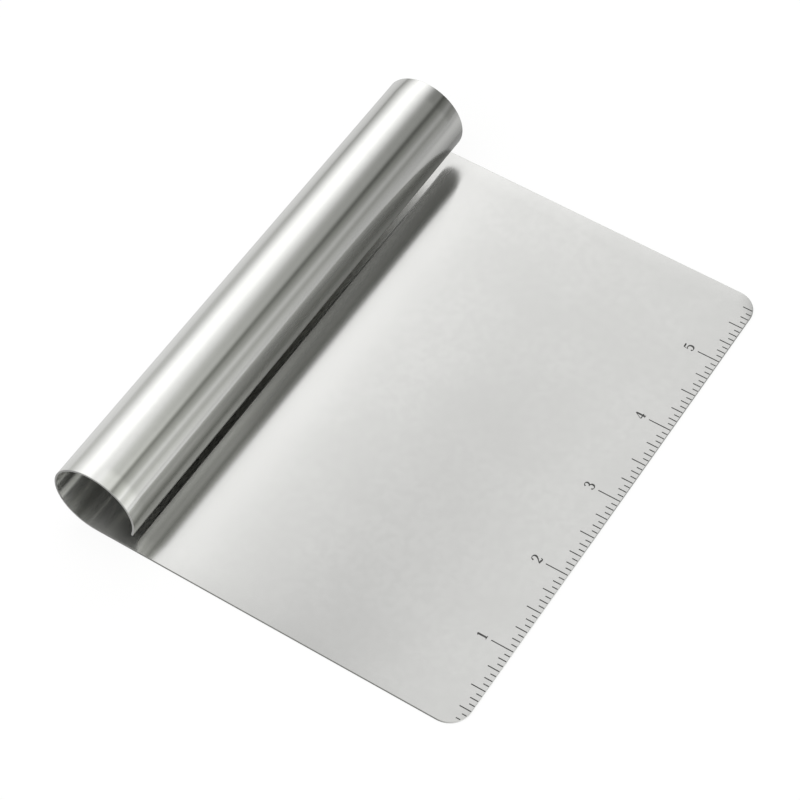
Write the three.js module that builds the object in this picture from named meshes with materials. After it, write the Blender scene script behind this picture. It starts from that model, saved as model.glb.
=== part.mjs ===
// Dough scraper: one stainless sheet, flat as a blade and rolled along one side into an open tube handle.
// Millimetres, +Z up. X runs along the handle, Y from the scraping edge to the handle.
// The origin is the middle of the footprint, on the surface that the blade lies on.

import * as THREE from 'three';

// Driving dimensions
const SHEET_THICKNESS = 0.6;
const BLADE_WIDTH = 149.5;
const BLADE_REACH = 102.8; // scraping edge to the line where the roll begins
const BLADE_CORNER_RADIUS = 6;
const ROLL_START_RADIUS = 10.9; // over the outside, where the roll leaves the blade
const ROLL_END_RADIUS = 12.1; // over the outside at the free edge, where the roll has sprung open a little
const ROLL_SWEEP_DEGREES = 308; // bend line to free edge
const FREE_CORNER_RADIUS = 5; // measured on the flat blank, before rolling

// Fineness of the facets
const FACETS_PER_QUARTER_TURN = 30;
const CORNER_FACETS = 12;

// Colours and finishes
const SATIN_STEEL = { color: 0xd3d3cf, roughness: 0.38, metalness: 1 };
const POLISHED_STEEL = { color: 0xd6d6d2, roughness: 0.14, metalness: 1 };

// Sizes that follow from the driving dimensions
const HALF_WIDTH = BLADE_WIDTH / 2;
const QUARTER_TURN = Math.PI / 2;
const ROLL_SWEEP = (ROLL_SWEEP_DEGREES * Math.PI) / 180;
const ROLL_END_MIDDLE_RADIUS = ROLL_END_RADIUS - SHEET_THICKNESS / 2;

// The roll's radius grows evenly with its turn, by this much in each radian.
const ROLL_OPENING = (ROLL_END_RADIUS - ROLL_START_RADIUS) / ROLL_SWEEP;

// The back of the roll is a quarter turn from the bend line, and the footprint ends there.
const BACK_FROM_EDGE = BLADE_REACH + ROLL_START_RADIUS + ROLL_OPENING * (QUARTER_TURN - 1);
const SCRAPING_EDGE_Y = -BACK_FROM_EDGE / 2;
const BEND_LINE_Y = SCRAPING_EDGE_Y + BLADE_REACH;

// A flat plate that ends square at the bend line and has both corners of its scraping edge rounded.
function bladeGeometry() {
  const cornerX = HALF_WIDTH - BLADE_CORNER_RADIUS;
  const cornerY = SCRAPING_EDGE_Y + BLADE_CORNER_RADIUS;
  const outline = new THREE.Shape();
  outline.moveTo(-HALF_WIDTH, BEND_LINE_Y);
  outline.lineTo(-HALF_WIDTH, cornerY);
  outline.absarc(-cornerX, cornerY, BLADE_CORNER_RADIUS, 2 * QUARTER_TURN, 3 * QUARTER_TURN);
  outline.absarc(cornerX, cornerY, BLADE_CORNER_RADIUS, -QUARTER_TURN, 0);
  outline.lineTo(HALF_WIDTH, BEND_LINE_Y);
  return new THREE.ExtrudeGeometry(outline, {
    depth: SHEET_THICKNESS,
    curveSegments: CORNER_FACETS,
    bevelEnabled: false,
  });
}

// A point of the rolled sheet, at a depth under its outer face.
// Turn is zero on the bend line, under the tube, and grows up the back and down the front.
function rollPoint(x, turn, depth) {
  const sine = Math.sin(turn);
  const cosine = Math.cos(turn);
  const radius = ROLL_START_RADIUS - depth;
  const y = BEND_LINE_Y + radius * sine + ROLL_OPENING * (turn * sine + cosine - 1);
  const z = ROLL_START_RADIUS - radius * cosine + ROLL_OPENING * (sine - turn * cosine);
  return new THREE.Vector3(x, y, z);
}

// The sheet's cut across its thickness at one turn, as wide as the blank is there.
function rollSection(turn, halfWidth) {
  return [
    rollPoint(-halfWidth, turn, 0),
    rollPoint(halfWidth, turn, 0),
    rollPoint(halfWidth, turn, SHEET_THICKNESS),
    rollPoint(-halfWidth, turn, SHEET_THICKNESS),
  ];
}

// Full-width sections round the tube, then sections that narrow along the free edge's rounded corners.
function rollSections() {
  const cornerStart = ROLL_SWEEP - FREE_CORNER_RADIUS / ROLL_END_MIDDLE_RADIUS;
  const facetTurn = QUARTER_TURN / FACETS_PER_QUARTER_TURN;
  const sections = [];
  for (let facet = 0; facet * facetTurn < cornerStart; facet += 1) {
    sections.push(rollSection(facet * facetTurn, HALF_WIDTH));
  }
  for (let facet = 0; facet <= CORNER_FACETS; facet += 1) {
    const around = (QUARTER_TURN * facet) / CORNER_FACETS;
    const along = FREE_CORNER_RADIUS * Math.sin(around);
    const inset = FREE_CORNER_RADIUS * (1 - Math.cos(around));
    sections.push(rollSection(cornerStart + along / ROLL_END_MIDDLE_RADIUS, HALF_WIDTH - inset));
  }
  return sections;
}

// Joins a row of four-cornered sections into one closed solid, with a cap at each end.
function loft(sections) {
  const corners = sections[0].length;
  const geometry = new THREE.BufferGeometry().setFromPoints(sections.flat());
  const index = [];
  const quad = (a, b, c, d) => index.push(a, b, c, a, c, d);
  for (let section = 0; section + 1 < sections.length; section += 1) {
    const here = section * corners;
    const next = here + corners;
    for (let corner = 0; corner < corners; corner += 1) {
      const beside = (corner + 1) % corners;
      quad(here + corner, next + corner, next + beside, here + beside);
    }
  }
  const last = (sections.length - 1) * corners;
  quad(0, 1, 2, 3);
  quad(last + 3, last + 2, last + 1, last);
  geometry.setIndex(index);
  geometry.computeVertexNormals();
  return geometry;
}

function namedMesh(name, geometry, finish) {
  const mesh = new THREE.Mesh(geometry, new THREE.MeshStandardMaterial(finish));
  mesh.name = name;
  return mesh;
}

const scraper = new THREE.Group();
scraper.add(namedMesh('blade', bladeGeometry(), SATIN_STEEL));
scraper.add(namedMesh('rolled_handle', loft(rollSections()), POLISHED_STEEL));

export default scraper;
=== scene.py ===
"""The finished look of a rolled-sheet dough scraper: satin blade, polished tube handle, etched inch scale."""
import math

import bpy
import numpy as np
from mathutils import Matrix, Vector


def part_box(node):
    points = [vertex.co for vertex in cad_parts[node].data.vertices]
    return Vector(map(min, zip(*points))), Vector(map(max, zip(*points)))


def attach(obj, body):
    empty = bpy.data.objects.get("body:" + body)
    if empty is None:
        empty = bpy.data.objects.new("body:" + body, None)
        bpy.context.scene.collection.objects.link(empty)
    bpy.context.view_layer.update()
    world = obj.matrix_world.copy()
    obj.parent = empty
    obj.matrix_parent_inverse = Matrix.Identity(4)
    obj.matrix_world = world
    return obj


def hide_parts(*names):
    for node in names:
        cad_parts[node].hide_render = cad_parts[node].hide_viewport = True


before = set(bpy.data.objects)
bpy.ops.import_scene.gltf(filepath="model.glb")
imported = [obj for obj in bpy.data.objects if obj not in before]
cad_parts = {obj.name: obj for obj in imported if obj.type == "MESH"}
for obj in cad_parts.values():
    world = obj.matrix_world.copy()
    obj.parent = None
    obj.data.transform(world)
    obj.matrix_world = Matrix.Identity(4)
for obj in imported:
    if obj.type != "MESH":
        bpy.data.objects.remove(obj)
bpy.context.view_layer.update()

MM = 0.001
INCH = 25.4 * MM
BLACK = (0.0, 0.0, 0.0)
WHITE = (1.0, 1.0, 1.0)

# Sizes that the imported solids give
blade_low, blade_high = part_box("blade")
SHEET = blade_high.z - blade_low.z
HALF_WIDTH = blade_high.x
EDGE_Y = blade_low.y
BEND_Y = blade_high.y
REACH = BEND_Y - EDGE_Y

# Sizes of the sheet that its boxes don't show
BLADE_CORNER = 6 * MM
FREE_CORNER = 5 * MM
EDGE_ROUND = 0.12 * MM
ROLL_START_RADIUS = 10.9 * MM
ROLL_END_RADIUS = 12.1 * MM
ROLL_TURN = math.radians(308)

# The radius that the roll gains in each radian, its radius at the bend line in the middle of the sheet,
# and the blank's length before rolling
ROLL_OPENING = (ROLL_END_RADIUS - ROLL_START_RADIUS) / ROLL_TURN
MIDDLE_RADIUS = ROLL_START_RADIUS - SHEET / 2
BLANK_LENGTH = REACH + ROLL_TURN * MIDDLE_RADIUS + ROLL_OPENING * ROLL_TURN ** 2 / 2

# Fineness of the meshes, the angle that counts as a sharp edge, and how far the sheet's thickness is drawn
# aside on its map
COLUMNS = 30
CORNER_STEPS = 24
BLADE_STEPS = 20
ROLL_STEPS = 300
ROUND_STEPS = 4
STROKE_STEPS = 10
SHARP_DEGREES = 40
MAP_ASIDE = 0.7

# The etched scale: its zero lies just outside the near side, and its marks count sixteenths of an inch
SCALE_ZERO_X = -HALF_WIDTH - 0.4 * MM
DIVISIONS = 16
FIRST_MARK = 2
LAST_MARK = 92
MARK_WIDTH = 0.30 * MM
MARK_INSET = 0.15 * MM
MARK_SUNK = 0.02 * MM
MARK_PROUD = 0.008 * MM
MARK_LENGTHS = {16: 6.2 * MM, 8: 4.0 * MM, 4: 3.3 * MM, 2: 2.35 * MM, 1: 1.65 * MM}
NUMERAL_HEIGHT = 2.75 * MM
NUMERAL_BASE = 7.35 * MM
NUMERAL_WEIGHT = 1.25
STROKE_LIFT = 0.001 * MM
# A stroke stops just short of its round end's tip, so that its last cut keeps some width.
STROKE_TIP = 0.98

# Pen strokes of the numerals as rows of x, y and width, where the numeral is 1 high and centred on x = 0
NUMERAL_STROKES = {
    1: (
        ((0.0, 0.03, 0.15), (0.0, 0.50, 0.15), (0.0, 0.98, 0.15)),
        ((0.03, 0.95, 0.10), (-0.08, 0.88, 0.08), (-0.17, 0.82, 0.05)),
        ((-0.20, 0.03, 0.06), (0.0, 0.03, 0.06), (0.20, 0.03, 0.06)),
    ),
    2: (
        ((-0.21, 0.70, 0.18), (-0.22, 0.79, 0.12), (-0.14, 0.93, 0.07), (0.03, 0.98, 0.06),
         (0.21, 0.87, 0.13), (0.24, 0.69, 0.15), (0.10, 0.44, 0.10), (-0.13, 0.22, 0.07),
         (-0.27, 0.08, 0.06)),
        ((-0.28, 0.06, 0.07), (-0.10, 0.10, 0.12), (0.10, 0.05, 0.13), (0.22, 0.07, 0.09),
         (0.28, 0.22, 0.05)),
    ),
    3: (
        ((-0.22, 0.79, 0.15), (-0.14, 0.92, 0.08), (0.01, 0.98, 0.06), (0.18, 0.89, 0.12),
         (0.20, 0.73, 0.14), (0.11, 0.58, 0.09), (-0.06, 0.53, 0.05)),
        ((-0.06, 0.53, 0.05), (0.13, 0.50, 0.09), (0.25, 0.34, 0.15), (0.22, 0.15, 0.14),
         (0.03, 0.02, 0.06), (-0.14, 0.06, 0.08), (-0.22, 0.20, 0.17)),
    ),
    4: (
        ((0.10, 0.03, 0.15), (0.10, 0.50, 0.15), (0.10, 0.98, 0.15)),
        ((0.07, 0.95, 0.05), (-0.12, 0.61, 0.05), (-0.31, 0.27, 0.05)),
        ((-0.31, 0.27, 0.08), (0.0, 0.27, 0.08), (0.30, 0.27, 0.08)),
        ((-0.06, 0.03, 0.05), (0.10, 0.03, 0.05), (0.26, 0.03, 0.05)),
    ),
    5: (
        ((-0.19, 0.91, 0.11), (0.03, 0.91, 0.13), (0.25, 0.93, 0.12)),
        ((-0.18, 0.95, 0.06), (-0.20, 0.73, 0.05), (-0.22, 0.50, 0.06)),
        ((-0.22, 0.50, 0.05), (-0.04, 0.62, 0.07), (0.18, 0.54, 0.13), (0.26, 0.33, 0.16),
         (0.19, 0.12, 0.14), (-0.02, 0.02, 0.06), (-0.17, 0.07, 0.08), (-0.22, 0.20, 0.17)),
    ),
}

# The two finishes of the sheet: colour where clean and where cloudy, roughness, and how far it is brushed
SATIN_BRIGHT = (0.583, 0.583, 0.571)
SATIN_CLOUDY = (0.558, 0.558, 0.546)
SATIN_ROUGHNESS = 0.165
SATIN_BRUSHED = 1.0
POLISHED_BRIGHT = (0.71, 0.712, 0.693)
POLISHED_CLOUDY = (0.69, 0.692, 0.673)
POLISHED_ROUGHNESS = 0.12
POLISHED_BRUSHED = 0.0

# Rolling grain, clouds and fine mottle: how many to the metre, and how far they change the finish
GRAIN_FINENESS = 2600.0
GRAIN_DRAWN = (0.02, 1.0, 1.0)
GRAIN_GAIN = 4.0
GRAIN_ROUGHNESS = 0.012
GRAIN_DEPTH = 0.0002 * MM
CLOUD_FINENESS = 34.0
CLOUD_LIMITS = (0.32, 0.68)
CLOUD_ROUGHNESS = 0.02
MOTTLE_FINENESS = 420.0
MOTTLE_SHARE = 0.55
MOTTLE_TONE = 0.98

# Cut edges: sheared, but ground bright along the scraping edge, and less so from its middle to its far end
SHEARED_COLOUR = (0.20, 0.20, 0.19)
ROLLED_END_COLOUR = (0.38, 0.38, 0.37)
GROUND_COLOUR = (0.90, 0.90, 0.89)
GROUND_LOSS = 0.6
GROUND_LOSS_X = (-45 * MM, 5 * MM)
CUT_ROUGHNESS = 0.35
SHEAR_BREAK = 0.08
SHEAR_LIMITS = (0.25, 0.95)

# Painted shade on the blade in a band along its middle, and a painted highlight in a patch beside the handle
BAND_MIDDLE_Y = -16 * MM
BAND_HALF_DEPTH = 27 * MM
BAND_SHADE = 0.215
HIGHLIGHT_PATCH_COLOUR = (0.627, 0.627, 0.614)
HIGHLIGHT_PATCH_Y = 26 * MM
HIGHLIGHT_PATCH_HALF_LENGTH = 90 * MM
HIGHLIGHT_PATCH_HALF_DEPTH = 8 * MM

# The face within the roll, which sets in a little before the bend line, and the painted shade on its
# floor by the turn
INSIDE_COLOUR = (0.65, 0.652, 0.632)
INSIDE_ROUGHNESS = 0.205
INSIDE_FROM = 8 * MM
FLOOR_SHADE = 0.25
FLOOR_TURNS = (25, 100)

# The zone low on the roll's front that is rougher and carries a painted dark reflection, by the turn in
# degrees and the place along the handle. Each pair of shares is the first share and what it gains.
PAINTED_REFLECTION_COLOUR = (0.21, 0.212, 0.204)
DULL_ZONE_ROUGHNESS = 0.305
DULL_AND_REFLECTION_SHARE = 0.76
EARLY_TURNS = (242, 251)
EARLY_X = (-60 * MM, -10 * MM)
EARLY_TAPER_X = 35 * MM
EARLY_TAPER_PER_METRE = 560
LATE_TURNS = (245, 268)
LATE_X = (20 * MM, 60 * MM)
LATE_SHARES = (0.55, 0.45)
REGAINED_SHARE = 0.6
REGAINED_TURNS = (288, 298)
REGAINED_X = -35 * MM
REGAINED_HALF_LENGTH = 35 * MM
BELT_SETS_IN = (262, 268)
BELT_ENDS = (289, 300)
BELT_X = (-40 * MM, 0.0)
BELT_SHARES = (0.16, 0.08)
BELT_FAR_X = (10 * MM, 50 * MM)

# Etched marks
ETCH_DARK = (0.035, 0.035, 0.034)
ETCH_PALE = (0.07, 0.07, 0.068)
ETCH_ROUGHNESS = 0.6
ETCH_FINENESS = 900.0

# The camera, with angles in degrees, and lens and sensor in millimetres
CAMERA_PLACE = (-354.0 * MM, -204.2 * MM, 561.0 * MM)
CAMERA_AZIMUTH = -59.309
CAMERA_ELEVATION = 53.874
CAMERA_ROLL = 1.864
CAMERA_LENS = 124.868
CAMERA_SENSOR = 36.0
CAMERA_CLIP = 10 * MM

# Brightness of the studio by the angle round the handle: 0 is the front horizon, 90 overhead, 180 behind
TENT_STOPS = (
    (-180, 0.68),
    # front wall of the tent, darker towards its upper hem
    (-8, 0.72),
    (0, 0.71),
    (4, 0.665),
    (10, 0.60),
    (18, 0.455),
    # narrow strip light over the front wall
    (25, 0.64),
    (28, 0.71),
    (31, 0.655),
    # dark card that shades down to the slit in front of the roof
    (38, 0.455),
    (44, 0.365),
    (47.5, 0.32),
    (51.5, 0.215),
    (53.5, 0.18),
    (56.5, 0.23),
    # plain cloth of the roof
    (59.3, 0.41),
    (62.3, 0.54),
    (74, 0.52),
    (82, 0.58),
    (88, 0.70),
    # soft rim of the big soft box
    (94, 0.875),
    (104, 1.10),
    (112, 1.32),
    # middle of the big soft box
    (114, 1.44),
    (118, 1.50),
    (140, 1.50),
    # rear rim of the soft box and the cloth behind it
    (148, 1.25),
    (158, 0.92),
    (164, 0.735),
    (170, 0.645),
    (175, 0.625),
    (180, 0.68),
)
# The stops' colours are held in this unit, which keeps them below 1.
TENT_UNIT = 2.0
# The dark cards are a little warm.
CARD_TINT = (0.98, 1.0, 0.925)
TINTED_BELOW = 0.25
PLAIN_ABOVE = 0.8

# How the tent changes with the lean, which is the share of a ray's direction that runs along the handle.
# Each pair of angles is the middle and the width of a hump, and each pair of leans the ends of a slope.
# The front of the tent fades towards the handle's far end, and faster on the dark card.
MIDDLE_LEAN = 0.49
FRONT_FADE = 5.0
FRONT_FADE_ENDS = (78, 109)
FADE_LIMITS = (0.5, 1.8)
CARD_FADE = 4.4
CARD_ANGLES = (57.0, 6.5)
# The strip light is weaker, and the cloth behind the handle brighter, beyond the handle's near end.
STRIP_LOSS = 0.24
STRIP_ANGLES = (24.5, 3.2)
STRIP_LEANS = (0.43, 0.50)
CLOTH_GAIN = 0.18
CLOTH_ANGLES = (166.0, 10.0)
CLOTH_LEANS = (0.435, 0.465)
# The cloth low down behind the handle darkens towards its far end.
BACK_SHADE = 0.35
BACK_ANGLES = (178.0, 8.0)
BACK_LEANS = (0.50, 0.57)

# The table top: half its size in metres, its drop under the blade, how much of it glows, and how bright
# the camera sees it
TABLE_HALF = 3.0
TABLE_DROP = 0.05 * MM
TABLE_COLOUR = (0.85, 0.85, 0.85)
TABLE_GLOW = 0.85
TABLE_SEEN = 1.04

# Brightness of the table top as the metal mirrors it: in front of the handle, beside the blade, behind the
# handle, close under the roll's back, where it holds a painted shadow, and beyond the far end
TABLE_FRONT = 1.31
TABLE_FRONT_MOST = 1.05
TABLE_FADE_START = 138 * MM
TABLE_FADE_SPREAD = 0.55
BESIDE_Y = (-70 * MM, 0.0)
BESIDE_LEVELS = (0.44, 0.62)
BEHIND_Y = (20 * MM, 60 * MM)
BEHIND_X = (-50 * MM, 250 * MM)
BEHIND_LEVELS = (0.885, 0.665)
UNDER_ROLL_Y = (60 * MM, 84 * MM)
UNDER_ROLL_LEVELS = (0.80, 0.98)
BEYOND_X = (300 * MM, 480 * MM)
BEYOND_LEVELS = (1.0, 0.82)

# Light inside the open tube passes between its walls many times.
BOUNCES = 16


def rounded_half_outline(radius, centre_s, first_angle, last_angle):
    """Left edge of the blank round one corner, as x, s and the outward normal.

    A quarter circle about the corner's centre: the angle is 0 where the edge faces the scraping side, a
    quarter turn where it faces left, and half a turn where it faces the free edge. s runs along the blank.
    """
    angle = np.linspace(first_angle, last_angle, CORNER_STEPS + 1)
    normal_x = -np.sin(angle)
    normal_s = -np.cos(angle)
    x = -HALF_WIDTH + radius + radius * normal_x
    s = centre_s + radius * normal_s
    return np.stack([x, s, normal_x, normal_s], axis=1)


def straight_half_outline(start, end, steps):
    """Left edge of the blank along its straight side, without the first point."""
    s = np.linspace(start, end, steps + 1)[1:]
    left = np.full_like(s, -HALF_WIDTH)
    return np.stack([left, s, np.full_like(s, -1.0), np.zeros_like(s)], axis=1)


def blade_outline():
    """Left edge of the blade: the scraping edge's corner, then the side as far as the bend line."""
    corner = rounded_half_outline(BLADE_CORNER, BLADE_CORNER, 0.0, math.pi / 2)
    side = straight_half_outline(BLADE_CORNER, REACH, BLADE_STEPS)
    return np.concatenate([corner, side])


def handle_outline():
    """Left edge of the rolled zone: the side from the bend line, then the free edge's corner."""
    corner_start = BLANK_LENGTH - FREE_CORNER
    bend = np.array([[-HALF_WIDTH, REACH, -1.0, 0.0]])
    side = straight_half_outline(REACH, corner_start, ROLL_STEPS)
    corner = rounded_half_outline(FREE_CORNER, corner_start, math.pi / 2, math.pi)
    return np.concatenate([bend, side, corner[1:]])


def edge_layers():
    """Inset and height of each layer through the sheet, from its upper face round the edge to its lower face.

    Each edge is a quarter circle of the edge's rounding, and the cut face between them is flat.
    """
    angle = np.linspace(math.pi / 2, 0.0, ROUND_STEPS + 1)
    inset = EDGE_ROUND * (1 - np.cos(angle))
    height = SHEET / 2 - EDGE_ROUND * (1 - np.sin(angle))
    return np.concatenate([inset, inset[::-1]]), np.concatenate([height, -height[::-1]])


def roll_turn(s):
    """Turn of the roll at a place on the blank.

    The length past the bend line is the sum of the growing radius over the turn.
    """
    past = np.maximum(s - REACH, 0.0)
    return (np.sqrt(MIDDLE_RADIUS ** 2 + 2 * ROLL_OPENING * past) - MIDDLE_RADIUS) / ROLL_OPENING


def roll_up(x, s, height):
    """Places a point of the flat blank in the part.

    Up to the bend line the sheet lies flat. Past it, the sheet turns with a radius that grows evenly with the
    turn, and the height above the middle of the sheet is taken off that radius.
    """
    turn = roll_turn(s)
    sine = np.sin(turn)
    cosine = np.cos(turn)
    radius = MIDDLE_RADIUS - height
    y = EDGE_Y + np.minimum(s, REACH) + radius * sine + ROLL_OPENING * (turn * sine + cosine - 1)
    z = ROLL_START_RADIUS - radius * cosine + ROLL_OPENING * (sine - turn * cosine)
    return np.stack([x, y, z], axis=-1)


def grid_faces(index, flip):
    """Quads between neighbours of a two-way grid of vertex numbers."""
    quads = np.stack([index[:-1, :-1], index[1:, :-1], index[1:, 1:], index[:-1, 1:]], axis=-1)
    quads = quads.reshape(-1, 4)
    return quads[:, ::-1] if flip else quads


def sheet_skin(half_outline):
    """Points and quads of a piece of sheet, with four values of each point.

    They are whether it lies on the cut edge, how far that edge faces the scraping side, its place on the
    blank, and its height above the middle of the sheet.

    The sheet is a block of points: stations along the blank, layers through the thickness and columns across.
    A station's columns run straight from the left edge to its mirror image on the right, and each layer is
    set in from the outline by its inset. Only the skin of the block is kept.
    """
    inset, height = edge_layers()
    left_x = half_outline[:, None, 0] - inset * half_outline[:, None, 2]
    s = half_outline[:, None, 1] - inset * half_outline[:, None, 3]
    across = np.linspace(1.0, -1.0, COLUMNS + 1)
    block_x = left_x[:, :, None] * across
    block_s = np.broadcast_to(s[:, :, None], block_x.shape)
    block_height = np.broadcast_to(height[None, :, None], block_x.shape)
    points = roll_up(block_x, block_s, block_height).reshape(-1, 3)
    index = np.arange(block_x.size).reshape(block_x.shape)
    quads = np.concatenate([
        grid_faces(index[:, 0, :], True),
        grid_faces(index[:, -1, :], False),
        grid_faces(index[:, :, 0], False),
        grid_faces(index[:, :, -1], True),
        grid_faces(index[0, :, :], True),
        grid_faces(index[-1, :, :], False),
    ])
    used, quads = np.unique(quads, return_inverse=True)
    on_cut = np.broadcast_to(~np.isclose(inset, EDGE_ROUND)[None, :, None], block_x.shape)
    scraping = np.broadcast_to(np.maximum(-half_outline[:, 3], 0.0)[:, None, None], block_x.shape)
    values = (on_cut, scraping, block_s, block_height)
    return points[used], quads.reshape(-1, 4), [value.reshape(-1)[used] for value in values]


def mesh_piece(name, points, quads):
    """A mesh object from arrays of points and quads, smooth apart from its sharp edges."""
    mesh = bpy.data.meshes.new(name)
    mesh.vertices.add(len(points))
    mesh.vertices.foreach_set("co", points.astype(np.float32).ravel())
    mesh.loops.add(quads.size)
    mesh.loops.foreach_set("vertex_index", quads.astype(np.int32).ravel())
    mesh.polygons.add(len(quads))
    mesh.polygons.foreach_set("loop_start", np.arange(0, quads.size, 4, dtype=np.int32))
    mesh.update(calc_edges=True)
    mesh.validate()
    mesh.shade_smooth()
    mesh.set_sharp_from_angle(angle=math.radians(SHARP_DEGREES))
    piece = bpy.data.objects.new(name, mesh)
    bpy.context.scene.collection.objects.link(piece)
    return piece


def point_value(piece, name, values):
    """A named number on every point of a mesh, for its material to read."""
    layer = piece.data.attributes.new(name, "FLOAT", "POINT")
    layer.data.foreach_set("value", values.astype(np.float32))


def eased(value, start, end):
    """A smooth step from 0 at the start to 1 at the end."""
    share = np.clip((value - start) / (end - start), 0.0, 1.0)
    return share * share * (3 - 2 * share)


def rising(value, ends, first_share, gain):
    """A share that starts at the first and gains by a smooth step between two ends."""
    return first_share + gain * eased(value, *ends)


def dull_and_painted_reflection_share(x, turn):
    """Share of roughness and painted dark reflection on the roll's outer face, by its place and turn.

    It is the larger of two soft steps: an early one along the middle, and a late one that is stronger at the
    far end. The early one tapers off towards the far end. Beside the free edge, the share falls back on the
    near half. A soft belt low on the front adds more, from the middle to the far end.
    """
    taper = EARLY_TAPER_PER_METRE * np.maximum(x - EARLY_TAPER_X, 0.0)
    early = eased(turn - taper, *EARLY_TURNS) * eased(x, *EARLY_X)
    late = eased(turn, *LATE_TURNS) * rising(x, LATE_X, *LATE_SHARES)
    near_half = np.exp(-((x - REGAINED_X) / REGAINED_HALF_LENGTH) ** 2)
    regained = REGAINED_SHARE * eased(turn, *REGAINED_TURNS) * near_half
    belt = eased(turn, *BELT_SETS_IN) * (1 - eased(turn, *BELT_ENDS)) * eased(x, *BELT_X)
    duller = rising(x, BELT_FAR_X, *BELT_SHARES) * belt
    return DULL_AND_REFLECTION_SHARE * np.maximum(early, late) * (1 - regained) + duller


def lay_flat(piece, points, quads, s, height):
    """The flat blank as the mesh's UV map, which tells the brushed finish which way the handle runs.

    U runs across the blank and V along it. Both are drawn aside a little through the sheet's thickness, so
    that the cut edges have some width on the map too.
    """
    flat = np.stack([points[:, 0] + MAP_ASIDE * height, s - height], axis=1) / BLANK_LENGTH
    layer = piece.data.uv_layers.new(name="blank")
    layer.data.foreach_set("uv", flat[quads.ravel()].astype(np.float32).ravel())


def sheet_piece(name, node, half_outline, outer, inner):
    """One zone of the sheet, standing for its solid.

    Its upper face, which turns inside the roll, has its own finish. That face and its rounded edge are what
    lies more than a quarter of the sheet's thickness above its middle.
    """
    points, quads, (on_cut, scraping, s, height) = sheet_skin(half_outline)
    piece = mesh_piece(name, points, quads)
    lay_flat(piece, points, quads, s, height)
    x = points[:, 0]
    turn = np.degrees(roll_turn(s))
    inside = eased(s, REACH - INSIDE_FROM, REACH) * (height > 0)
    point_value(piece, "cut_edge", on_cut)
    point_value(piece, "ground_edge", scraping * (1 - GROUND_LOSS * eased(x, *GROUND_LOSS_X)))
    point_value(piece, "roll_inside", inside)
    # Painted shade on the floor inside the roll, fading out between two turns.
    point_value(piece, "roll_floor", FLOOR_SHADE * inside * (1 - eased(turn, *FLOOR_TURNS)))
    # Where the roll's outer face is rougher and carries a painted dark reflection.
    point_value(piece, "dull_and_painted_reflection", dull_and_painted_reflection_share(x, turn) * (height < 0))
    piece.data.materials.append(outer)
    piece.data.materials.append(inner)
    upper = (height[quads] > SHEET / 4).all(axis=1)
    piece.data.polygons.foreach_set("material_index", upper.astype(np.int32))
    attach(piece, "root")
    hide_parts(node)


def bars(low, high):
    """Points and quads of upright boxes, one for each row of low and high corners."""
    pick = np.array([[0, 0, 0], [1, 0, 0], [1, 1, 0], [0, 1, 0], [0, 0, 1], [1, 0, 1], [1, 1, 1], [0, 1, 1]])
    sides = np.array([[3, 2, 1, 0], [4, 5, 6, 7], [0, 1, 5, 4], [1, 2, 6, 5], [2, 3, 7, 6], [3, 0, 4, 7]])
    points = np.where(pick[None, :, :] == 0, low[:, None, :], high[:, None, :])
    quads = sides[None, :, :] + len(pick) * np.arange(len(low))[:, None, None]
    return points.reshape(-1, 3), quads.reshape(-1, 4)


def mark_length(number):
    """Longest for whole inches, and shorter for each halving of the inch."""
    step = math.gcd(number, DIVISIONS)
    return MARK_LENGTHS[step]


def scale_marks(material):
    """Every division of the scale, as a bar from just inside the blade's outline to the mark's own length."""
    numbers = np.arange(FIRST_MARK, LAST_MARK + 1)
    x = SCALE_ZERO_X + numbers * INCH / DIVISIONS
    length = np.array([mark_length(int(number)) for number in numbers])
    past_corner = np.maximum(np.abs(x) + MARK_WIDTH / 2 - (HALF_WIDTH - BLADE_CORNER), 0.0)
    outline = BLADE_CORNER - np.sqrt(BLADE_CORNER ** 2 - past_corner ** 2)
    z = np.full_like(x, SHEET)
    low = np.stack([x - MARK_WIDTH / 2, EDGE_Y + outline + MARK_INSET, z - MARK_SUNK], axis=1)
    high = np.stack([x + MARK_WIDTH / 2, EDGE_Y + length, z + MARK_PROUD], axis=1)
    points, quads = bars(low, high)
    piece = mesh_piece("inch_marks", points, quads)
    piece.data.materials.append(material)
    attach(piece, "root")


def pen_stroke(controls):
    """Centre line and half width of one pen stroke, smooth through its rows of x, y and width.

    Each span is a cubic whose slope at a row is half the step between the rows on either side of it. Both
    ends are round: within half a width of an end, the width is the chord of a circle as wide as the stroke.
    """
    rows = np.array(controls) * (1.0, 1.0, NUMERAL_WEIGHT)
    padded = np.concatenate([2 * rows[:1] - rows[1:2], rows, 2 * rows[-1:] - rows[-2:-1]])
    before, start, end, after = (padded[first:len(rows) - 1 + first][:, None, :] for first in range(4))
    t = np.linspace(0.0, 1.0, STROKE_STEPS, endpoint=False)[None, :, None]
    slant = (end - before) / 2
    bend = before - 2.5 * start + 2 * end - after / 2
    twist = 1.5 * (start - end) + (after - before) / 2
    spans = start + t * slant + t ** 2 * bend + t ** 3 * twist
    curve = np.concatenate([spans.reshape(-1, 3), rows[-1:]])
    steps = np.hypot(*np.diff(curve[:, :2], axis=0).T)
    travelled = np.concatenate([[0.0], np.cumsum(steps)])
    to_end = np.minimum(travelled, travelled[-1] - travelled)
    half = curve[:, 2] / 2
    short = np.clip(half - to_end, 0.0, STROKE_TIP * half)
    return curve[:, :2], np.sqrt(half ** 2 - short ** 2)


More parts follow.
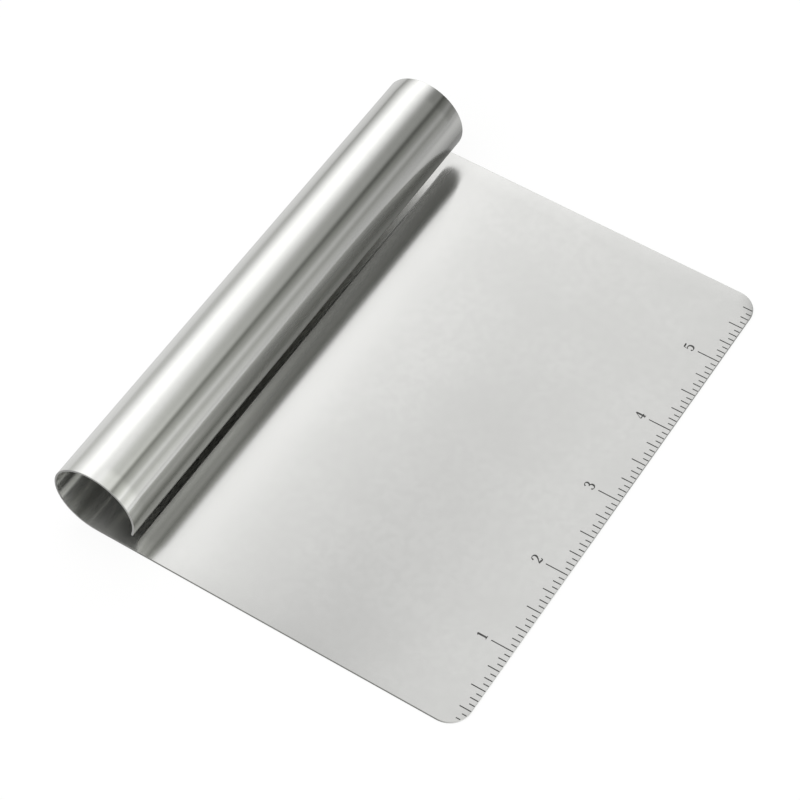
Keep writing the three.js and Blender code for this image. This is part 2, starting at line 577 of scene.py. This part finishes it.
def stroke_ribbon(line, half_width, low, high):
    """A flat ribbon with a rectangular cut: half a width to either side of its line, between two heights."""
    along = np.gradient(line, axis=0)
    along /= np.linalg.norm(along, axis=1, keepdims=True)
    across = np.stack([-along[:, 1], along[:, 0]], axis=1) * half_width[:, None]
    left = line + across
    right = line - across
    floor = np.full(len(line), low)
    roof = np.full(len(line), high)
    ring = np.stack([
        np.column_stack([left, floor]),
        np.column_stack([right, floor]),
        np.column_stack([right, roof]),
        np.column_stack([left, roof]),
    ], axis=1)
    index = np.arange(ring.shape[0] * 4).reshape(-1, 4)
    closed = np.concatenate([index, index[:, :1]], axis=1)
    quads = np.concatenate([grid_faces(closed, False), index[:1, :], index[-1:, ::-1]])
    return ring.reshape(-1, 3), quads


def inch_numerals(material):
    """The numerals over the whole inches, each stroke a ribbon a hair higher than the one before it."""
    points, quads, count = [], [], 0
    for inch, strokes in NUMERAL_STROKES.items():
        middle = np.array([SCALE_ZERO_X + inch * INCH, EDGE_Y + NUMERAL_BASE])
        for layer, controls in enumerate(strokes):
            line, half_width = pen_stroke(controls)
            lift = layer * STROKE_LIFT
            ribbon, faces = stroke_ribbon(
                middle + line * NUMERAL_HEIGHT,
                half_width * NUMERAL_HEIGHT,
                SHEET - MARK_SUNK - lift,
                SHEET + MARK_PROUD + lift,
            )
            points.append(ribbon)
            quads.append(faces + count)
            count += len(ribbon)
    piece = mesh_piece("inch_numerals", np.concatenate(points), np.concatenate(quads))
    piece.data.materials.append(material)
    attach(piece, "root")


def add_node(tree, kind, **settings):
    """A new shader node with its settings."""
    made = tree.nodes.new(kind)
    for key, value in settings.items():
        setattr(made, key, value)
    return made


def feed(tree, value, socket):
    """Links a socket to the one that feeds it, or sets it to a plain number or colour."""
    if isinstance(value, (int, float)):
        socket.default_value = value
    elif isinstance(value, tuple):
        socket.default_value = (*value, 1.0)
    else:
        tree.links.new(value, socket)


def maths(tree, operation, first, second):
    """A Math node whose two inputs are sockets or plain numbers."""
    made = add_node(tree, "ShaderNodeMath", operation=operation)
    feed(tree, first, made.inputs[0])
    feed(tree, second, made.inputs[1])
    return made.outputs[0]


def mixed(tree, factor, first, second):
    """A Mix node between two numbers, by a socket."""
    made = add_node(tree, "ShaderNodeMix", data_type="FLOAT")
    feed(tree, factor, made.inputs["Factor"])
    feed(tree, first, made.inputs["A"])
    feed(tree, second, made.inputs["B"])
    return made.outputs["Result"]


def mixed_colour(tree, factor, first, second):
    """A Mix node between two colours, by a socket."""
    made = add_node(tree, "ShaderNodeMix", data_type="RGBA")
    feed(tree, factor, made.inputs["Factor"])
    colours = [socket for socket in made.inputs if socket.type == "RGBA"]
    feed(tree, first, colours[0])
    feed(tree, second, colours[1])
    return [socket for socket in made.outputs if socket.type == "RGBA"][0]


def hump(tree, value, middle, width):
    """A bell curve of a value: one in the middle, and less than a fiftieth two widths away."""
    away = maths(tree, "DIVIDE", maths(tree, "SUBTRACT", value, middle), width)
    square = maths(tree, "MULTIPLY", away, away)
    return maths(tree, "POWER", math.e, maths(tree, "MULTIPLY", square, -1.0))


def slope(tree, value, start, end, first, last):
    """A smooth step of a value, from the first level at the start to the last level at the end."""
    made = add_node(tree, "ShaderNodeMapRange", interpolation_type="SMOOTHSTEP")
    labels = ("Value", "From Min", "From Max", "To Min", "To Max")
    for label, given in zip(labels, (value, start, end, first, last)):
        feed(tree, given, made.inputs[label])
    return made.outputs[0]


def between(tree, value, low, high):
    """A value kept between two limits."""
    made = add_node(tree, "ShaderNodeClamp")
    for label, given in (("Value", value), ("Min", low), ("Max", high)):
        feed(tree, given, made.inputs[label])
    return made.outputs[0]


def axes_of(tree, place):
    """The sockets X, Y and Z of a place."""
    made = add_node(tree, "ShaderNodeSeparateXYZ")
    tree.links.new(place, made.inputs[0])
    return made.outputs


def own_place(tree):
    """A point's place in its piece, which for every piece here is its place in the part."""
    return add_node(tree, "ShaderNodeTexCoord").outputs["Object"]


def read_value(tree, name):
    """The number that a mesh's points carry under a name."""
    return add_node(tree, "ShaderNodeAttribute", attribute_name=name).outputs["Fac"]


def noise(tree, place, fineness, **settings):
    """Soft noise from 0 to 1, with its fineness in lumps to the metre."""
    made = add_node(tree, "ShaderNodeTexNoise")
    feed(tree, place, made.inputs["Vector"])
    feed(tree, fineness, made.inputs["Scale"])
    for label, value in settings.items():
        feed(tree, value, made.inputs[label])
    return made.outputs["Fac"]


def empty_group(name, output, **inputs):
    """A shader node group with named inputs, and one value that it puts out."""
    group = bpy.data.node_groups.new(name, "ShaderNodeTree")
    for label, kind in inputs.items():
        group.interface.new_socket(name=label, in_out="INPUT", socket_type="NodeSocket" + kind)
    group.interface.new_socket(name=output, in_out="OUTPUT", socket_type="NodeSocketFloat")
    given = group.nodes.new("NodeGroupInput").outputs
    result = group.nodes.new("NodeGroupOutput").inputs[0]
    return group, given, result


def placed_group(tree, group, **inputs):
    """A group node with its inputs linked or set, and the one socket that it puts out."""
    made = add_node(tree, "ShaderNodeGroup", node_tree=group)
    for label, value in inputs.items():
        feed(tree, value, made.inputs[label])
    return made.outputs[0]


def rolling_grain_group():
    """Fine lines along the sheet: noise drawn out along the handle and fine across it, about -1 to 1."""
    group, given, result = empty_group("rolling_grain", "Grain", Place="Vector", Fineness="Float")
    drawn = add_node(group, "ShaderNodeVectorMath", operation="MULTIPLY")
    group.links.new(given["Place"], drawn.inputs[0])
    drawn.inputs[1].default_value = GRAIN_DRAWN
    lines = noise(group, drawn.outputs[0], given["Fineness"], Detail=3.0, Roughness=0.6)
    centred = maths(group, "SUBTRACT", lines, 0.5)
    group.links.new(maths(group, "MULTIPLY", centred, GRAIN_GAIN), result)
    return group


def handled_cloud_group():
    """Faint clouds that handling and washing leave: soft noise from 0, clean, to 1, cloudy."""
    group, given, result = empty_group("handled_cloud", "Cloud", Place="Vector", Fineness="Float")
    lumps = noise(group, given["Place"], given["Fineness"], Detail=4.0, Roughness=0.55, Distortion=0.4)
    group.links.new(slope(group, lumps, *CLOUD_LIMITS, 0.0, 1.0), result)
    return group


def sheared_edge_group():
    """Where the sheet was cut: 1 on the cut face, broken a little by the grain at the edge of that face."""
    group, given, result = empty_group("sheared_edge", "Shear", Edge="Float", Grain="Float")
    broken = maths(group, "ADD", given["Edge"], maths(group, "MULTIPLY", given["Grain"], SHEAR_BREAK))
    group.links.new(slope(group, broken, *SHEAR_LIMITS, 0.0, 1.0), result)
    return group


def painted_shade_band_group():
    """Painted shade on the blade: a broad band along its middle.

    Along the handle it falls evenly, from 1 at the near side to 0 at the far side.
    """
    group, given, result = empty_group("painted_shade_band", "PaintedShade", Place="Vector")
    axes = axes_of(group, given["Place"])
    along = add_node(group, "ShaderNodeMapRange")
    group.links.new(axes["X"], along.inputs["Value"])
    along.inputs["From Min"].default_value = -HALF_WIDTH
    along.inputs["From Max"].default_value = HALF_WIDTH
    along.inputs["To Min"].default_value = 1.0
    along.inputs["To Max"].default_value = 0.0
    band = hump(group, axes["Y"], BAND_MIDDLE_Y, BAND_HALF_DEPTH)
    group.links.new(maths(group, "MULTIPLY", band, along.outputs[0]), result)
    return group


def painted_highlight_group():
    """Painted highlight on the blade beside the handle: 1 in the middle of a long soft patch."""
    group, given, result = empty_group("painted_highlight_patch", "Highlight", Place="Vector")
    axes = axes_of(group, given["Place"])
    along = hump(group, axes["X"], 0.0, HIGHLIGHT_PATCH_HALF_LENGTH)
    across = hump(group, axes["Y"], HIGHLIGHT_PATCH_Y, HIGHLIGHT_PATCH_HALF_DEPTH)
    group.links.new(maths(group, "MULTIPLY", along, across), result)
    return group


def steel(name, groups, bright, cloudy, cut, smooth, brushed):
    """Stainless steel: bright where clean, a shade duller in clouds and mottle, and a band of painted shade.

    Brushed steel spreads what it mirrors along the handle. A painted highlight lies beside the handle.
    The face within the roll has its own finish, and painted shade darkens its floor. The last stretch before
    the roll's free edge is rougher and carries a painted dark reflection. The cut edge is brighter where it
    was ground.
    """
    material = bpy.data.materials.new(name)
    material.use_nodes = True
    tree = material.node_tree
    shader = tree.nodes["Principled BSDF"]
    shader.inputs["Metallic"].default_value = 1.0
    shader.inputs["Anisotropic"].default_value = brushed
    along_handle = add_node(tree, "ShaderNodeTangent", direction_type="UV_MAP", uv_map="blank")
    tree.links.new(along_handle.outputs[0], shader.inputs["Tangent"])

    place = own_place(tree)
    within = read_value(tree, "roll_inside")
    dull_and_painted_reflection = read_value(tree, "dull_and_painted_reflection")
    grain = placed_group(tree, groups["grain"], Place=place, Fineness=GRAIN_FINENESS)
    cloud = placed_group(tree, groups["cloud"], Place=place, Fineness=CLOUD_FINENESS)
    mottle = placed_group(tree, groups["cloud"], Place=place, Fineness=MOTTLE_FINENESS)
    shear = placed_group(tree, groups["shear"], Edge=read_value(tree, "cut_edge"), Grain=grain)
    painted_band = maths(tree, "MULTIPLY", placed_group(tree, groups["painted_band"], Place=place), BAND_SHADE)
    highlight_patch = placed_group(tree, groups["highlight_patch"], Place=place)

    even = mixed_colour(tree, cloud, bright, cloudy)
    mottled = tuple(MOTTLE_TONE * part for part in cloudy)
    clean = mixed_colour(tree, maths(tree, "MULTIPLY", mottle, MOTTLE_SHARE), even, mottled)
    # Painted dark reflection low on the roll's front.
    shown = mixed_colour(tree, dull_and_painted_reflection, clean, PAINTED_REFLECTION_COLOUR)
    # Painted shade in a band along the blade's middle.
    band_shaded = mixed_colour(tree, painted_band, shown, BLACK)
    # Painted highlight in a soft patch beside the handle.
    highlighted = mixed_colour(tree, highlight_patch, band_shaded, HIGHLIGHT_PATCH_COLOUR)
    lined = mixed_colour(tree, within, highlighted, INSIDE_COLOUR)
    # Painted shade on the floor inside the roll.
    face = mixed_colour(tree, read_value(tree, "roll_floor"), lined, BLACK)
    edges = mixed_colour(tree, read_value(tree, "ground_edge"), cut, GROUND_COLOUR)
    tree.links.new(mixed_colour(tree, shear, face, edges), shader.inputs["Base Color"])

    outer = mixed(tree, dull_and_painted_reflection, smooth, DULL_ZONE_ROUGHNESS)
    finish = mixed(tree, within, outer, INSIDE_ROUGHNESS)
    clouded = maths(tree, "ADD", finish, maths(tree, "MULTIPLY", cloud, CLOUD_ROUGHNESS))
    grained = maths(tree, "ADD", clouded, maths(tree, "MULTIPLY", grain, GRAIN_ROUGHNESS))
    tree.links.new(mixed(tree, shear, grained, CUT_ROUGHNESS), shader.inputs["Roughness"])

    bump = add_node(tree, "ShaderNodeBump")
    bump.inputs["Strength"].default_value = 1.0
    bump.inputs["Distance"].default_value = GRAIN_DEPTH
    tree.links.new(grain, bump.inputs["Height"])
    tree.links.new(bump.outputs[0], shader.inputs["Normal"])
    return material


def etched_mark(groups):
    """Dull grey oxide left by etching, a little uneven."""
    material = bpy.data.materials.new("etched_mark")
    material.use_nodes = True
    tree = material.node_tree
    shader = tree.nodes["Principled BSDF"]
    shader.inputs["Roughness"].default_value = ETCH_ROUGHNESS
    uneven = placed_group(tree, groups["cloud"], Place=own_place(tree), Fineness=ETCH_FINENESS)
    tree.links.new(mixed_colour(tree, uneven, ETCH_DARK, ETCH_PALE), shader.inputs["Base Color"])
    return material


def tent_colour(brightness):
    """Grey of one stop, tinted where the tent is dark."""
    plain = min(max((brightness - TINTED_BELOW) / (PLAIN_ABOVE - TINTED_BELOW), 0.0), 1.0)
    level = brightness / TENT_UNIT
    return [level * (share + (1.0 - share) * plain) for share in CARD_TINT] + [1.0]


def tent_ramp(tree, angle):
    """Grey of the tent at an angle round the handle, in a straight line from stop to stop."""
    ramp = add_node(tree, "ShaderNodeValToRGB")
    tree.links.new(maths(tree, "ADD", maths(tree, "DIVIDE", angle, 360.0), 0.5), ramp.inputs[0])
    stops = ramp.color_ramp.elements
    while len(stops) < len(TENT_STOPS):
        stops.new(0.5)
    for stop, (degrees, brightness) in zip(stops, TENT_STOPS):
        stop.position = degrees / 360 + 0.5
        stop.color = tent_colour(brightness)
    return ramp.outputs["Color"]


def tent_shade(tree, angle, lean):
    """How the tent's brightness changes with the lean.

    The front half is multiplied by a power of e that falls with the lean past its middle, within limits. The
    whole tent is then multiplied by 1, plus the brighter cloth, less the weaker strip light and the darker
    cloth low down, each of them a hump of the angle times a slope of the lean.
    """
    extra = maths(tree, "MULTIPLY", hump(tree, angle, *CARD_ANGLES), CARD_FADE)
    rate = maths(tree, "ADD", extra, FRONT_FADE)
    past_middle = maths(tree, "SUBTRACT", lean, MIDDLE_LEAN)
    fall = maths(tree, "MULTIPLY", maths(tree, "MULTIPLY", past_middle, rate), -1.0)
    fade = between(tree, maths(tree, "POWER", math.e, fall), *FADE_LIMITS)
    front = slope(tree, angle, *FRONT_FADE_ENDS, 1.0, 0.0)
    change = maths(tree, "MULTIPLY", maths(tree, "SUBTRACT", fade, 1.0), front)
    faded = maths(tree, "ADD", change, 1.0)
    strip = slope(tree, lean, *STRIP_LEANS, STRIP_LOSS, 0.0)
    weaker = maths(tree, "MULTIPLY", hump(tree, angle, *STRIP_ANGLES), strip)
    cloth = slope(tree, lean, *CLOTH_LEANS, CLOTH_GAIN, 0.0)
    brighter = maths(tree, "MULTIPLY", hump(tree, angle, *CLOTH_ANGLES), cloth)
    back = slope(tree, lean, *BACK_LEANS, 0.0, BACK_SHADE)
    darker = maths(tree, "MULTIPLY", hump(tree, angle, *BACK_ANGLES), back)
    ends = maths(tree, "SUBTRACT", brighter, maths(tree, "ADD", weaker, darker))
    return maths(tree, "MULTIPLY", faded, maths(tree, "ADD", ends, 1.0))


def studio_world():
    """White to the camera. To the metal, a soft tent whose brightness is set by the angle and the lean."""
    world = bpy.data.worlds.new("studio")
    bpy.context.scene.world = world
    world.use_nodes = True
    tree = world.node_tree
    tree.nodes.clear()
    axes = axes_of(tree, add_node(tree, "ShaderNodeTexCoord").outputs["Generated"])
    forward = maths(tree, "MULTIPLY", axes["Y"], -1.0)
    radians = maths(tree, "ARCTAN2", axes["Z"], forward)
    angle = maths(tree, "MULTIPLY", radians, 180 / math.pi)
    tent = add_node(tree, "ShaderNodeBackground")
    tree.links.new(tent_ramp(tree, angle), tent.inputs["Color"])
    shade = tent_shade(tree, angle, axes["X"])
    tree.links.new(maths(tree, "MULTIPLY", shade, TENT_UNIT), tent.inputs["Strength"])
    white = add_node(tree, "ShaderNodeBackground")
    feed(tree, WHITE, white.inputs["Color"])
    ray = add_node(tree, "ShaderNodeLightPath")
    pick = add_node(tree, "ShaderNodeMixShader")
    tree.links.new(ray.outputs["Is Camera Ray"], pick.inputs[0])
    tree.links.new(tent.outputs[0], pick.inputs[1])
    tree.links.new(white.outputs[0], pick.inputs[2])
    out = add_node(tree, "ShaderNodeOutputWorld")
    tree.links.new(pick.outputs[0], out.inputs[0])


def mirrored_table(tree):
    """Brightness of the table top as the metal mirrors it.

    In front of the handle it falls along the handle as a power of e, slower far from the handle, and stays
    between a slope across the table and a limit. Behind the handle it is the product of three slopes, one of
    them a painted shadow close under the roll's back.
    """
    axes = axes_of(tree, own_place(tree))
    from_end = maths(tree, "SUBTRACT", -HALF_WIDTH, axes["X"])
    spread = maths(tree, "MULTIPLY", maths(tree, "SUBTRACT", BEND_Y, axes["Y"]), TABLE_FADE_SPREAD)
    away = maths(tree, "ADD", maths(tree, "MAXIMUM", spread, 0.0), TABLE_FADE_START)
    fall = maths(tree, "DIVIDE", from_end, away)
    front = maths(tree, "MULTIPLY", maths(tree, "POWER", math.e, fall), TABLE_FRONT)
    beside = slope(tree, axes["Y"], *BESIDE_Y, *BESIDE_LEVELS)
    before = maths(tree, "MINIMUM", maths(tree, "MAXIMUM", front, beside), TABLE_FRONT_MOST)
    along = slope(tree, axes["X"], *BEHIND_X, *BEHIND_LEVELS)
    # Painted shadow on the table close under the roll's back, seen in the metal.
    under = slope(tree, axes["Y"], *UNDER_ROLL_Y, *UNDER_ROLL_LEVELS)
    beyond = slope(tree, axes["X"], *BEYOND_X, *BEYOND_LEVELS)
    rear = maths(tree, "MULTIPLY", maths(tree, "MULTIPLY", along, under), beyond)
    behind = slope(tree, axes["Y"], *BEHIND_Y, 0.0, 1.0)
    return mixed(tree, behind, before, rear)


def white_table():
    """Matt white that glows to the camera and to the metal, and keeps a pale share of the shadow."""
    material = bpy.data.materials.new("white_table")
    material.use_nodes = True
    tree = material.node_tree
    tree.nodes.clear()
    matt = add_node(tree, "ShaderNodeBsdfDiffuse")
    feed(tree, TABLE_COLOUR, matt.inputs["Color"])
    ray = add_node(tree, "ShaderNodeLightPath").outputs
    glow = add_node(tree, "ShaderNodeEmission")
    feed(tree, WHITE, glow.inputs["Color"])
    strength = mixed(tree, ray["Is Glossy Ray"], TABLE_SEEN, mirrored_table(tree))
    tree.links.new(strength, glow.inputs["Strength"])
    seen = maths(tree, "MAXIMUM", ray["Is Camera Ray"], ray["Is Glossy Ray"])
    mix = add_node(tree, "ShaderNodeMixShader")
    tree.links.new(maths(tree, "MULTIPLY", seen, TABLE_GLOW), mix.inputs[0])
    tree.links.new(matt.outputs[0], mix.inputs[1])
    tree.links.new(glow.outputs[0], mix.inputs[2])
    out = add_node(tree, "ShaderNodeOutputMaterial")
    tree.links.new(mix.outputs[0], out.inputs[0])
    return material


def table_floor():
    """A wide table top, just under the blade."""
    corners = np.array([[-1.0, -1.0], [1.0, -1.0], [1.0, 1.0], [-1.0, 1.0]]) * TABLE_HALF
    points = np.column_stack([corners, np.full(4, -TABLE_DROP)])
    floor = mesh_piece("floor", points, np.array([[0, 1, 2, 3]]))
    floor.data.materials.append(white_table())


def photo_camera():
    """Looks down on the scraper from beyond the near end of its scraping edge, through a long lens."""
    azimuth = math.radians(CAMERA_AZIMUTH)
    elevation = math.radians(CAMERA_ELEVATION)
    back = Vector((
        math.sin(azimuth) * math.cos(elevation),
        -math.cos(azimuth) * math.cos(elevation),
        math.sin(elevation),
    ))
    level = Vector((0, 0, 1)).cross(back).normalized()
    turned = Matrix.Rotation(math.radians(CAMERA_ROLL), 3, back)
    right = turned @ level
    up = back.cross(right)
    camera = bpy.data.objects.new("camera", bpy.data.cameras.new("camera"))
    camera.data.lens = CAMERA_LENS
    camera.data.sensor_width = CAMERA_SENSOR
    camera.data.clip_start = CAMERA_CLIP
    camera.matrix_world = Matrix((
        (right.x, up.x, back.x, CAMERA_PLACE[0]),
        (right.y, up.y, back.y, CAMERA_PLACE[1]),
        (right.z, up.z, back.z, CAMERA_PLACE[2]),
        (0, 0, 0, 1),
    ))
    bpy.context.scene.collection.objects.link(camera)
    bpy.context.scene.camera = camera


bpy.context.scene.view_settings.view_transform = "Standard"
bpy.context.scene.cycles.max_bounces = BOUNCES
bpy.context.scene.cycles.glossy_bounces = BOUNCES
photo_camera()
studio_world()
table_floor()
surface = {
    "grain": rolling_grain_group(),
    "cloud": handled_cloud_group(),
    "shear": sheared_edge_group(),
    "painted_band": painted_shade_band_group(),
    "highlight_patch": painted_highlight_group(),
}
satin = steel(
    "satin_steel", surface, SATIN_BRIGHT, SATIN_CLOUDY, SHEARED_COLOUR, SATIN_ROUGHNESS, SATIN_BRUSHED,
)
polished = steel(
    "polished_steel", surface, POLISHED_BRIGHT, POLISHED_CLOUDY, ROLLED_END_COLOUR, POLISHED_ROUGHNESS,
    POLISHED_BRUSHED,
)
etched = etched_mark(surface)
sheet_piece("blade_sheet", "blade", blade_outline(), satin, satin)
sheet_piece("rolled_sheet", "rolled_handle", handle_outline(), polished, satin)
scale_marks(etched)
inch_numerals(etched)
